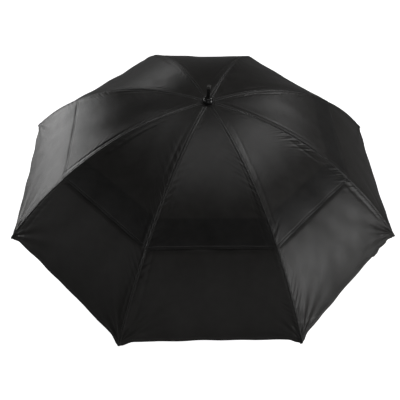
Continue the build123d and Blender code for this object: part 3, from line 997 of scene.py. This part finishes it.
    def fold_axis(self, billow: float) -> tuple[Vector, Vector]:
        """The way the half panel gathers to its rib as the umbrella folds.

        Args:
            billow: How far the direction leans inwards, which carries the gathered cloth outside the rib.

        Returns:
            The direction that it flattens along, and a point on the rib that stays put.
        """
        rib_angle = HALF_PITCH + (self.arm - 1) * ARM_PITCH
        middle = np.array((self.low + self.high) / 2)
        places = np.linspace(self.low, self.high, 21)
        radius, height = (float(np.mean(values)) for values in self.line.point(places, self.layer.offset))
        slope = float(self.line.slope(middle))
        sideways = math.sin(HALF_PITCH) * math.cos(HALF_PITCH)
        inward = math.sin(HALF_PITCH) ** 2 * math.sin(slope)
        radial = Vector((math.cos(rib_angle), math.sin(rib_angle), 0))
        tangent = Vector((-math.sin(rib_angle), math.cos(rib_angle), 0)) * self.side.value
        upward = radial * math.sin(slope) + Vector((0, 0, math.cos(slope)))
        axis = tangent * sideways - upward * (inward + billow * sideways)
        return axis.normalized(), radial * radius + Vector((0, 0, height))

    def flat_size(self) -> tuple[float, float, float]:
        """The half panel's cut width, length and area."""
        arcs = np.linspace(self.low, self.high, 60)
        radius, _ = self.line.point(arcs, self.layer.offset)
        half = radius * math.sin(HALF_PITCH)
        hem_waste = self.layer.scallop * float(half[-1]) * 2 / 3 if self.high >= self.layer.hem else 0.0
        slanted = (self.high_slant * float(half[-1]) - self.low_slant * float(half[0])) / 2
        area = float(np.trapz(half, arcs)) - hem_waste + slanted
        reach, _ = self.line.point(np.array(self.high + self.high_slant), self.layer.offset)
        return float(reach) * math.sin(HALF_PITCH), self.high + self.high_slant - self.low, area


@dataclass(frozen=True)
class ClothRun:
    """One run of cloth along the ribs, and how it goes with them as they fold."""

    label: str
    layer: ClothLayer
    low: float
    high: float
    body: str
    node: str
    keep: float
    billow: float


@dataclass
class Canopy:
    """The vented double canopy: a cap over a skirt, each of eight sewn panels."""

    line: RibLine
    cloth: bpy.types.Material
    knee: float = 0.360
    knee_slant: float = 0.046
    strap_arm: int = 8
    # The upper layer's 0.389 is where its painted shade over the doubled band starts.
    upper: ClothLayer = ClothLayer("upper", -0.0015, 0.477, 0.0037, 0.001, 0.0040, 0.001, 0.0, 0.0, 0.389, 0.0012)
    lower: ClothLayer = ClothLayer("lower", 0.385, 0.743, 0.0024, 0.001, 0.0040, 0.0, 1.0, 0.0095)
    pieces: list[bpy.types.Object] = field(default_factory=list)

    def runs(self) -> list[ClothRun]:
        """The cap over the inner ribs, its hem band over the outer ribs, and the skirt."""
        cap, skirt, inner, outer = "upper_canopy", "lower_canopy", "arm_{}_inner_rib", "arm_{}_outer_rib"
        return [
            ClothRun("cap", self.upper, self.upper.start, self.knee, inner, cap, 0.17, 0.19),
            ClothRun("cap_hem", self.upper, self.knee, self.upper.hem, outer, cap, 0.10, 0.12),
            ClothRun("skirt", self.lower, self.lower.start, self.lower.hem, outer, skirt, 0.10, 0.10),
        ]

    def build(self) -> None:
        """Sew every half panel and hang it on its rib."""
        for run in self.runs():
            for arm in range(1, ARM_COUNT + 1):
                for side in Side:
                    self.pieces.append(self.hang(run, arm, side))
            LOG.info("canopy %s: %d half panels", run.label, 2 * ARM_COUNT)

    def hang(self, run: ClothRun, arm: int, side: Side) -> bpy.types.Object:
        """Sew one half panel and hang it on its rib.

        Args:
            run: The run of cloth that it belongs to.
            arm: Its rib's number.
            side: Its side of the rib.

        Returns:
            The half panel.
        """
        layer = run.layer
        panel = (arm - 1 + (1 if side is Side.LEFT else 0)) % ARM_COUNT
        seed = 31 * (panel + 1) + (100 if layer is self.upper else 0)
        strapped = layer is self.lower and arm == self.strap_arm and side is Side.RIGHT
        slants = [self.knee_slant if end == self.knee else 0.0 for end in (run.low, run.high)]
        half = HalfPanel(layer, self.line, arm, side, run.low, run.high, Creases(seed), strapped, *slants)
        name = f"{run.label}_{arm}_{side.name.lower()}"
        piece = mesh_object(name, half.grid().mesh(name), self.cloth)
        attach(piece, run.body.format(arm))
        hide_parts(run.node)
        axis, anchor = half.fold_axis(run.billow)
        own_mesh(piece)
        width, length, area = half.flat_size()
        return piece


@dataclass(frozen=True)
class Rosette:
    """A round patch of cloth with a pinked edge, threaded on the shaft at the crown."""

    node: str
    rests_on: str
    cloth: bpy.types.Material
    hole: float = 0.0076
    teeth: int = 36

    def build(self) -> bpy.types.Object:
        """Cut the patch, let it ripple a little and put it in its node's place.

        Returns:
            The patch.
        """
        low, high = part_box(self.node)
        outer = (high.x - low.x) / 2 - 0.0004
        height = (low.z + high.z) / 2
        radii = np.linspace(0, 1, 15)[:, None]
        turn = np.linspace(0, 2 * math.pi, 217)[None, :-1]
        pinked = outer - 0.0009 * np.abs(((turn * self.teeth / (2 * math.pi)) % 1) * 2 - 1)
        radius = self.hole + radii * (pinked - self.hole)
        ripple = 0.00022 * np.sin(8 * turn + 0.4) * radii ** 2 + 0.00012 * np.sin(19 * turn) * radii
        points = np.stack([radius * np.cos(turn), radius * np.sin(turn), height + ripple], axis=-1)
        points = np.concatenate([points, points[:, :1]], axis=1)
        flat = points[..., :2].copy()
        edge = np.broadcast_to((1 - radii) * (outer - self.hole), points.shape[:2])
        away = np.full(points.shape[:2], 0.05)
        normals = np.zeros_like(points)
        normals[..., 2] = 1.0
        grid = ClothGrid(points, normals, flat, edge, away)
        patch = mesh_object(self.node + "_patch", grid.mesh(self.node + "_patch"), self.cloth)
        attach(patch, "shaft")
        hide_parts(self.node)
        return patch


@dataclass(frozen=True)
class TieStrap:
    """The closure strap: a folded strip of the canopy's cloth that hangs inside the hem."""

    cloth: bpy.types.Material
    arm: int = 8
    length: float = 0.093
    width: float = 0.021
    thickness: float = 0.0014
    wave: float = 0.0016

    def build(self) -> bpy.types.Object:
        """Sew the strip and hang it in its node's place.

        Returns:
            The strap.
        """
        low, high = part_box("tie_strap")
        centre = (low + high) / 2
        panel = (self.arm - 1) * ARM_PITCH
        along = np.array([-math.sin(panel), math.cos(panel), 0.0])
        outward = np.array([math.cos(panel), math.sin(panel), 0.0])
        run = np.linspace(0, 1, 60)
        ring = np.linspace(0, 2 * math.pi, 41)[:-1]
        flatness = 0.22
        profile_z = np.sign(np.sin(ring)) * np.abs(np.sin(ring)) ** flatness * self.width / 2
        profile_n = np.sign(np.cos(ring)) * np.abs(np.cos(ring)) ** 0.6 * self.thickness / 2
        sway = self.wave * np.sin(run * 7.5 + 0.6) * run ** 0.5
        twist = 0.0007 * np.sin(run * 5.0)
        narrow = np.minimum(1.0, np.sqrt(np.clip((1 - run) / 0.05, 0.02, 1)))
        base = np.array(centre)
        points = base + ((run - 0.5) * -self.length)[:, None, None] * along
        points = points + (sway[:, None] + profile_n[None, :])[..., None] * outward
        lean = twist[:, None] * np.sin(ring)[None, :]
        points = points + lean[..., None] * outward
        height = profile_z[None, :] * narrow[:, None]
        points = points + height[..., None] * np.array([0.0, 0.0, 1.0])
        mesh = self.tube(points, run, ring)
        strap = mesh_object("closure_strap", mesh, self.cloth)
        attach(strap, f"arm_{self.arm}_outer_rib")
        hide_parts("tie_strap")
        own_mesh(strap)
        return strap

    def tube(self, points: np.ndarray, run: np.ndarray, ring: np.ndarray) -> bpy.types.Mesh:
        """Skin the strap's rings and close its ends.

        Args:
            points: One ring of points for each station.
            run: Shares of the strap's length.
            ring: Angles round its section.

        Returns:
            The mesh, with the same layers as the rest of the cloth.
        """
        rows, columns = points.shape[:2]
        index = np.arange(rows * columns).reshape(rows, columns)
        faces = []
        for row in range(rows - 1):
            for column in range(columns):
                after = (column + 1) % columns
                faces.append((index[row, column], index[row, after], index[row + 1, after], index[row + 1, column]))
        faces.append(tuple(index[0, ::-1]))
        faces.append(tuple(index[-1]))
        mesh = bpy.data.meshes.new("closure_strap")
        mesh.from_pydata(points.reshape(-1, 3).tolist(), [], [tuple(int(i) for i in face) for face in faces])
        flat_x = np.repeat(run * self.length, columns)
        flat_y = np.tile(np.sin(ring) * self.width / 2, rows)
        layer = mesh.uv_layers.new(name="cloth")
        for loop in mesh.loops:
            layer.data[loop.index].uv = (flat_x[loop.vertex_index], flat_y[loop.vertex_index])
        edge = self.width / 2 - np.abs(flat_y)
        # The strap gets none of the painted shade of the doubled band.
        for label, values in (("hem_distance", edge + 0.0052), ("seam_distance", edge * 0 + 0.05),
                              ("doubled_shade", edge * 0)):
            attribute = mesh.attributes.new(label, "FLOAT", "POINT")
            attribute.data.foreach_set("value", values.astype(np.float32))
        mesh.shade_smooth()
        mesh.update()
        return mesh


# ---------------------------------------------------------------- the studio


@dataclass(frozen=True)
class Studio:
    """A pale floor, soft lights and the camera."""

    notch: Vector
    floor_height: float

    distance: float = 1.861
    elevation: float = math.radians(51.41)
    azimuth: float = math.radians(4.49)
    roll: float = math.radians(3.41)
    aim_drop: float = 0.452
    lens: float = 45.81
    shift: tuple[float, float] = (-0.0061, -0.0044)

    def build(self) -> None:
        """Set up the floor, the lights and the camera."""
        self.floor()
        self.world()
        self.lights()
        self.camera()
        scene = bpy.context.scene
        scene.view_settings.view_transform = "Standard"
        scene.view_settings.look = "None"
        LOG.info("studio: floor, lights and camera")

    def floor(self) -> None:
        """A wide pale floor under the umbrella."""
        half = 12.0
        z = self.floor_height
        mesh = bpy.data.meshes.new("floor")
        mesh.from_pydata([(-half, -half, z), (half, -half, z), (half, half, z), (-half, half, z)], [],
                         [(0, 1, 2, 3)])
        material, graph, shader = new_material("pale_floor")
        place = graph.node("TexCoord").outputs["Object"]
        graph.feed(shader.inputs["Base Color"],
                   graph.mix(graph.noise(place, 3.0, 3.0), grey(0.93), grey(0.96)))
        shader.inputs["Roughness"].default_value = 0.9
        shader.inputs["Specular IOR Level"].default_value = 0.1
        shader.inputs["Emission Color"].default_value = (1.0, 1.0, 1.0, 1.0)
        shader.inputs["Emission Strength"].default_value = 0.95
        made = mesh_object("floor", mesh, material)
        made.visible_glossy = False
        made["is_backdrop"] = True

    def world(self) -> None:
        """Even light from all round."""
        world = bpy.data.worlds.new("studio")
        world.use_nodes = True
        background = world.node_tree.nodes["Background"]
        background.inputs[0].default_value = (1.0, 1.0, 1.0, 1.0)
        background.inputs[1].default_value = 0.04
        bpy.context.scene.world = world

    def lights(self) -> None:
        """Large soft lights round the umbrella: a tall one on the right, a low one behind on the left."""
        centre = self.notch - Vector((0, 0, 0.15))
        plans = [
            ("overhead", (0.1, 0.4, 3.0), 2.6, 2.6, 16.0),
            ("front_fill", (0.2, -3.0, 1.2), 2.4, 1.8, 3.0),
            ("left_fill", (-3.0, -0.7, 0.9), 1.6, 1.6, 2.0),
            ("right_box", (2.7, -1.2, 0.65), 1.3, 1.4, 17.0),
            ("right_high", (1.7, 1.2, 1.7), 1.3, 1.2, 13.0),
            ("left_back_card", (-1.9, 1.15, -0.25), 1.7, 0.8, 11.0),
            ("back_strip", (-0.9, 2.7, 0.7), 0.9, 0.5, 3.0),
        ]
        for name, offset, width, height, power in plans:
            data = bpy.data.lights.new(name, "AREA")
            data.shape = "RECTANGLE"
            data.size, data.size_y, data.energy = width, height, power
            lamp = bpy.data.objects.new(name, data)
            bpy.context.scene.collection.objects.link(lamp)
            lamp.location = centre + Vector(offset)
            lamp.rotation_mode = "QUATERNION"
            lamp.rotation_quaternion = (-Vector(offset)).to_track_quat("-Z", "Y")
            lamp.visible_camera = False

    def camera(self) -> None:
        """The camera, in front and above, turned a little about its own axis."""
        data = bpy.data.cameras.new("camera")
        data.lens, data.sensor_width = self.lens, 36.0
        data.shift_x, data.shift_y = self.shift
        data.clip_start, data.clip_end = 0.05, 100.0
        eye = bpy.data.objects.new("camera", data)
        bpy.context.scene.collection.objects.link(eye)
        flat = math.cos(self.elevation)
        back = Vector((-math.sin(self.azimuth) * flat, -math.cos(self.azimuth) * flat,
                       math.sin(self.elevation)))
        eye.location = self.notch - Vector((0, 0, self.aim_drop)) + back * self.distance
        eye.rotation_mode = "QUATERNION"
        turn = (-back).to_track_quat("-Z", "Y").to_matrix() @ Matrix.Rotation(self.roll, 3, "Z")
        eye.rotation_quaternion = turn.to_quaternion()
        bpy.context.scene.camera = eye


def dress_frame(finishes: dict[Slot, bpy.types.Material]) -> None:
    """Give every node of the frame its finish.

    Args:
        finishes: Each slot's material.
    """
    slots = {entry["node"]: Slot(entry["material_slot"]) for entry in frame["record"]["subparts"]}
    for node, piece in frame["nodes"].items():
        piece.data.materials.clear()
        piece.data.materials.append(finishes[slots[node]])
    LOG.info("dressed %d frame nodes", len(slots))


def main() -> None:
    """Build the studio and every piece in order."""
    logging.basicConfig(level=logging.INFO, format="%(message)s")
    cad_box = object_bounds()
    fold = next(joint for joint in frame["joints"] if joint["name"] == "canopy_fold")
    root = Vector(fold["pos_m"])
    line = RibLine(math.hypot(root.x, root.y), root.z)
    finishes = build_finishes()
    dress_frame(finishes)
    Studio(Vector((0, 0, root.z)), cad_box[0].z).build()
    cloth = finishes[Slot.CLOTH]
    Canopy(line, cloth).build()
    Rosette("inner_rosette", "top_notch", cloth).build()
    Rosette("crown_rosette", "cap_1_left", cloth).build()
    LOG.info("rosettes under and over the crown")
    TieStrap(cloth).build()
    LOG.info("closure strap")


if __name__ == "__main__":
    main()
